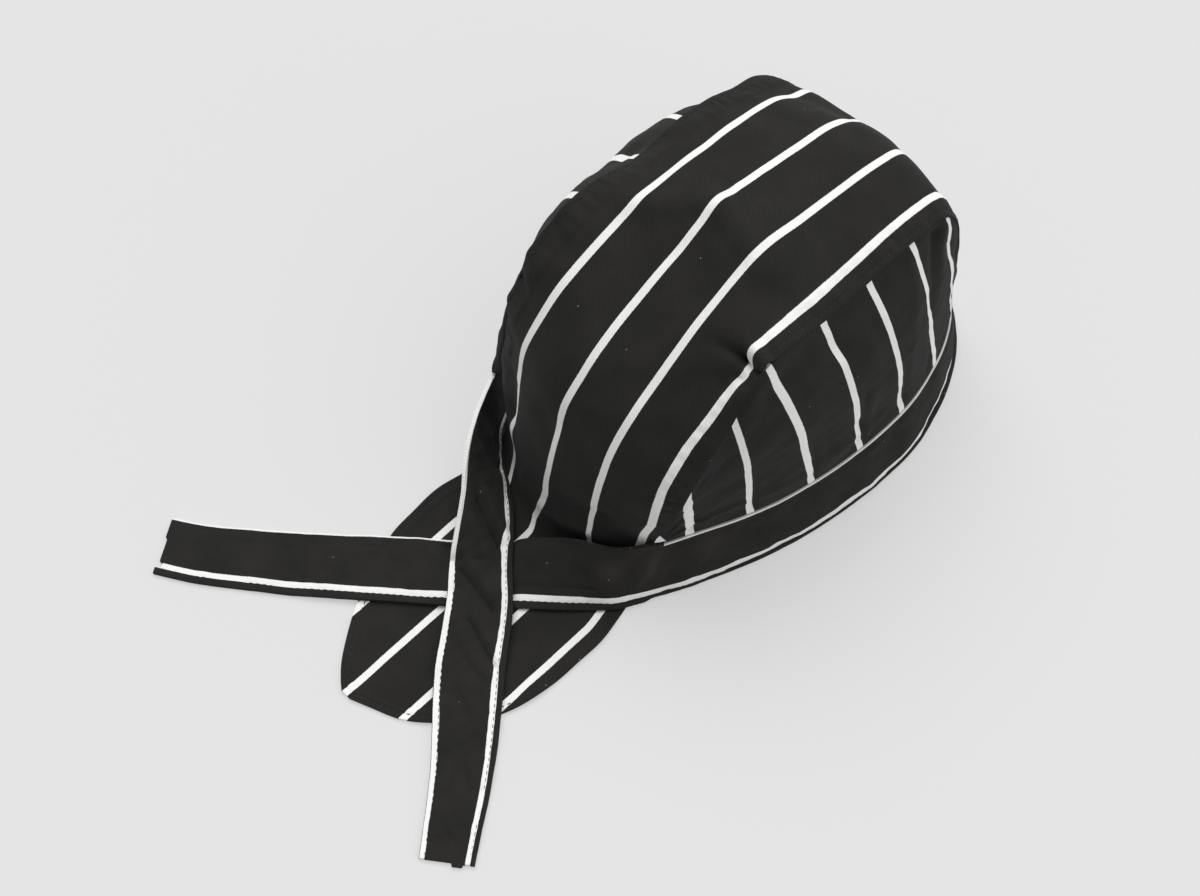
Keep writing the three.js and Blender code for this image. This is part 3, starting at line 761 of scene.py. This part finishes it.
def makeSide(side, name, node):
    def place(t, u):
        return sidePoints(side, t, (u + 1) / 2)
    first, last = 0.5, seamEnd - 0.3
    lineT = np.linspace(first, last, 300)
    foot = place(lineT, np.full(300, -1.0))
    top = place(lineT, np.full(300, 1.0))
    footS = np.concatenate([[0], np.cumsum(np.linalg.norm(np.diff(foot, axis=0), axis=1))])
    marks = sideStripes[side]
    count = np.arange(len(marks["feet"]))

    def number(y, stripes):
        stripes = np.array(stripes) * cap["rimLength"]
        inside = np.interp(y, stripes, count)
        before = (y - stripes[0]) / (stripes[1] - stripes[0])
        after = count[-1] + 0.7 * (y - stripes[-1]) / (stripes[-1] - stripes[-2])
        return np.where(y < stripes[0], before, np.where(y > stripes[-1], after, inside))
    footNumber, topNumber = number(foot[:, 1], marks["feet"]), number(top[:, 1], marks["tops"])

    def clothAt(t, u):
        q = (u + 1) / 2
        low, high = np.interp(t, lineT, footNumber), np.interp(t, lineT, topNumber)
        return twill["pitch"] * (low + (high - low) * q), q * 90

    def relief(t, u, ca, cb):
        free = smoothStep(-1, -0.86, u) * (1 - smoothStep(0.90, 1, u))
        ends = smoothStep(first, first + 1.2, t) * (1 - smoothStep(last - 1.4, last, t))
        s = np.interp(t, lineT, footS)
        soft = waves(s, cb, 60, 21 + side) * 0.5 + waves(s, cb, 20, 22 + side) * 0.14
        return (soft + foldHeight(sideFolds[side], s, cb)) * free * ends

    form = {"place": place, "cloth": clothAt, "relief": relief, "first": first, "last": last,
            "wall": cap["panelWall"], "side": -side if side > 0 else 1}
    cloth = makeCloth(name, form, 260, 110)
    dress(cloth, twillMaterial(name + "_twill", 0.0, twill["stripe"]), node)


makeSide(-1, "right_panel_cloth", "side_panel_right")
makeSide(1, "left_panel_cloth", "side_panel_left")

# Stitches and folds of the headband and the ties.
stripLook = {
    "stripe": 2.75, "stitchLow": 3.1, "stitchHigh": 27.2, "stitchPitch": 2.9, "stitchThickness": 0.34,
    "blend": 0.8,                   # how many rows a tie takes to leave the headband's own form
    "overlap": -0.13, "tieWall": 1.92,
}
bandFolds = {"columns": foldColumns, "rows": [
    (512, 30, 494, 8, 3.0, 0.9, 0.5), (505, 28, 486, 12, 2.6, -0.7, -0.3), (480, 26, 470, 10, 3.4, 0.7, 0.3),
    (455, 24, 440, 8, 3.2, -0.6, -0.2), (400, 26, 388, 8, 3.4, 0.7, 0.2), (372, 22, 360, 8, 2.8, -0.7, -0.3),
    (338, 24, 330, 6, 3.0, 0.6, 0.2), (292, 20, 280, 8, 3.4, -0.5, -0.2), (236, 24, 228, 6, 3.2, 0.6, 0.2),
    (302, 3, 344, 3, 11.0, -1.6, -1.7), (180, 24, 170, 8, 3.0, -0.6, -0.2),
    (128, 22, 120, 8, 3.4, 0.6, 0.3), (84, 24, 74, 6, 3.0, -0.6, -0.2), (40, 22, 30, 8, 3.4, 0.6, 0.2),
    (462, 3.0, 420, 2.6, 1.2, -0.3, -0.3), (380, 2.6, 330, 3.0, 1.2, -0.3, -0.3),
]}
rightTieFolds = {"columns": foldColumns, "rows": [
    (0, 27, 9, 12, 2.6, 1.1, 0.7), (4, 29, 16, 16, 2.4, -0.8, -0.3), (18, 28, 30, 18, 3.0, 0.5, 0.2),
    (26, 9.2, 66, 9.4, 0.9, -0.5, -0.4), (40, 26, 46, 12, 3.0, -0.4, -0.2), (92, 27, 94, 10, 2.4, -0.4, -0.4),
    (104, 28, 106, 10, 3.0, 0.4, 0.3), (118, 24.5, 150, 25.5, 0.9, -0.3, -0.3),
    (150, 8.5, 176, 8.0, 1.0, -0.3, -0.3),
    (160, 22, 190, 24, 1.2, -0.25, -0.2), (132, 20, 140, 8, 3.4, 0.4, 0.2),
]}
leftTieFolds = {"columns": foldColumns, "rows": [
    (52, 20, 70, 7, 1.9, -1.0, -1.1), (47, 16, 66, 3, 2.2, 0.8, 0.9), (60, 22, 76, 10, 2.4, 0.6, 0.5),
    (81, 24, 100, 9, 1.6, -0.9, -0.9), (77, 20, 94, 8, 2.2, 0.8, 0.7), (104, 19, 124, 5, 1.6, -0.9, -1.0),
    (110, 22, 128, 8, 2.2, 0.7, 0.6), (92, 25, 98, 18, 2.4, 0.6, 0.3), (136, 20, 160, 8, 2.8, -0.5, -0.3),
    (24, 22, 34, 8, 2.8, -0.7, -0.3), (170, 12, 186, 11, 1.4, -0.4, -0.3), (168, 21, 196, 22, 2.4, 0.3, 0.3),
    (196, 14, 202, 8, 2.0, 0.4, 0.2),
]}


# A tie starts as the headband ends: begin is its overlap with the band, and bandEnd the band there.
# roll is how far the upper edge rolls away with its stripe, at places along the strip, and swell how
# strongly its folds show.
def makeStrip(name, place, last, steps, across, folds, node, centre, pitch, fades, faces, swell, roll,
              begin=0, bandEnd=None, wall=None):
    def put(t, u):
        t, u = np.broadcast_arrays(np.asarray(t, float), np.asarray(u, float))
        q = (u + 1) / 2
        points = place(np.maximum(t, 0), q)
        if bandEnd is None:
            return points
        shift = bandEnd(0 * t, q) - place(0 * t, q)
        points = points + shift * (1 - smoothStep(0, stripLook["blend"], t))[..., None]
        return np.where((t < 0)[..., None], bandEnd(np.minimum(t, 0), q), points)
    stripT, stripS = lengthAlong(put, begin, last, 0)
    stripS = stripS - np.interp(0, stripT, stripS)

    def clothAt(t, u):
        along, height = np.interp(t, stripT, stripS), (u + 1) / 2 * cap["stripWidth"]
        away = np.interp(along, [r[0] for r in roll], [r[1] for r in roll])
        return along, height - away * smoothStep(12, 24, height)

    def relief(t, u, ca, cb):
        ends = smoothStep(0, 6, ca) * (1 - smoothStep(stripS[-1] - 6, stripS[-1] - 2, ca))
        inner = 0.25 + 0.75 * smoothStep(0, 0.25, 1 - np.abs(u))
        grooves = -0.28 * np.exp(-((cb - stripLook["stitchLow"]) / 0.7) ** 2)
        grooves = grooves - 0.2 * np.exp(-((cb - stripLook["stitchHigh"]) / 0.7) ** 2)
        soft = waves(ca, cb, 34, 31) * 0.28 + waves(ca, cb, 13, 32) * 0.10
        return ends * inner * (soft * swell + foldHeight(folds, ca, cb) * swell) + grooves

    form = {"place": put, "cloth": clothAt, "relief": relief, "first": begin, "last": last,
            "wall": wall or cap["stripWall"]}
    cloth = makeCloth(name, form, steps, across, edge=0.85)
    finish = twillMaterial(name + "_twill", centre, stripLook["stripe"], axis=1, fades=fades, pitch=pitch)
    dress(cloth, finish, node)
    t = np.linspace(max(begin, 0) + 0.05, last, 1200)
    paths = []
    for face, height in faces:
        paths.append((t, np.full(1200, height / cap["stripWidth"] * 2 - 1), face))
    makeStitches(node + "_topstitch", form, paths, stripLook["stitchPitch"],
                 thickness=stripLook["stitchThickness"])


lowStitch, highStitch = stripLook["stitchLow"], stripLook["stitchHigh"]
onBothFaces = ((1, lowStitch), (-1, lowStitch))
makeStrip("headband_cloth", bandPoints, bandLast, 520, 40, bandFolds, "headband",
          centre=4.5, pitch=26.1, fades=((500, 21, 17), (470, 22, 10)), faces=onBothFaces, swell=1.3,
          roll=((0, 0), (492, 0), (506, 0.9)))
makeStrip("right_tie_cloth", rightTiePoints, rightTieLast, 230, 40, rightTieFolds, "tie_right",
          centre=4.5, pitch=26.1, fades=((-4, 22, 17), (20, 18, 9)), faces=onBothFaces, swell=1.2,
          roll=((0, 0.9), (60, 0.9), (90, 0.1), (200, 0.0)), begin=stripLook["overlap"],
          bandEnd=lambda t, q: bandPoints(bandLast + 0.8 * t, q), wall=stripLook["tieWall"])
makeStrip("left_tie_cloth", leftTiePoints, leftTieLast, 240, 40, leftTieFolds, "tie_left",
          centre=3.8, pitch=24.6, fades=(), faces=onBothFaces + ((1, highStitch),), swell=2.0,
          roll=((0, 2.6), (24, 2.4), (44, 1.3), (66, 1.0), (90, 0.0)), begin=stripLook["overlap"],
          bandEnd=lambda t, q: bandPoints(-0.6 * t, q), wall=stripLook["tieWall"])

# A pale table, soft light and a pale wall behind.
studio = {
    "table": (0.28, 0.28, 0.28, 1), "tableGlow": 0.460, "sky": 0.36, "wall": 0.78,
    "key": {"from": (0.42, -0.26, 0.87), "energy": 2.2, "softness": 50},
    "fill": {"from": (-0.62, -0.40, 0.67), "energy": 0.9, "softness": 80},
}
bpy.ops.mesh.primitive_plane_add(size=20, location=(0, 0, 0))
table = bpy.context.active_object
table.name = "table"
tableFinish = bpy.data.materials.new("table_finish")
tableFinish.use_nodes = True
tableShader = tableFinish.node_tree.nodes["Principled BSDF"]
tableShader.inputs["Base Color"].default_value = studio["table"]
tableShader.inputs["Roughness"].default_value = 0.95
tableShader.inputs["Specular IOR Level"].default_value = 0.05
tableShader.inputs["Emission Color"].default_value = (1, 1, 1, 1)
tableShader.inputs["Emission Strength"].default_value = studio["tableGlow"]
table.data.materials.append(tableFinish)

world = bpy.data.worlds.new("studio")
bpy.context.scene.world = world
world.use_nodes = True
sky = world.node_tree
sky.nodes["Background"].inputs["Color"].default_value = (1, 1, 1, 1)
sky.nodes["Background"].inputs["Strength"].default_value = studio["sky"]
paleWall = newNode(sky, "ShaderNodeBackground")  # the wall behind the table, as the camera sees it
paleWall.inputs["Color"].default_value = (1, 1, 1, 1)
paleWall.inputs["Strength"].default_value = studio["wall"]
seen = newNode(sky, "ShaderNodeLightPath")
both = newNode(sky, "ShaderNodeMixShader")
sky.links.new(seen.outputs["Is Camera Ray"], both.inputs[0])
sky.links.new(sky.nodes["Background"].outputs[0], both.inputs[1])
sky.links.new(paleWall.outputs[0], both.inputs[2])
sky.links.new(both.outputs[0], sky.nodes["World Output"].inputs["Surface"])

for name in ("key", "fill"):
    light = studio[name]
    bpy.ops.object.light_add(type="SUN", location=Vector(light["from"]))
    lamp = bpy.context.active_object
    lamp.name = name
    lamp.data.energy = light["energy"]
    lamp.data.angle = math.radians(light["softness"])
    lamp.rotation_euler = (-Vector(light["from"])).to_track_quat("-Z", "Y").to_euler()
print("table and light")

# the camera looks down from behind the wearer's right
shot = {"azimuth": 224.8, "elevation": 61.7, "distance": 1.042, "lens": 72.0, "aim": (15.0, 61.8, 0.0)}
azimuth, elevation = math.radians(shot["azimuth"]), math.radians(shot["elevation"])
aim = Vector((np.array(shot["aim"]) + capOrigin) * 0.001)
level = math.cos(elevation)
back = Vector((math.sin(azimuth) * level, -math.cos(azimuth) * level, math.sin(elevation)))
bpy.ops.object.camera_add(location=aim + back * shot["distance"])
camera = bpy.context.active_object
camera.data.lens = shot["lens"]
camera.data.sensor_width = 36
camera.rotation_euler = (-back).to_track_quat("-Z", "Y").to_euler()
bpy.context.scene.camera = camera
bpy.context.scene.view_settings.view_transform = "Standard"
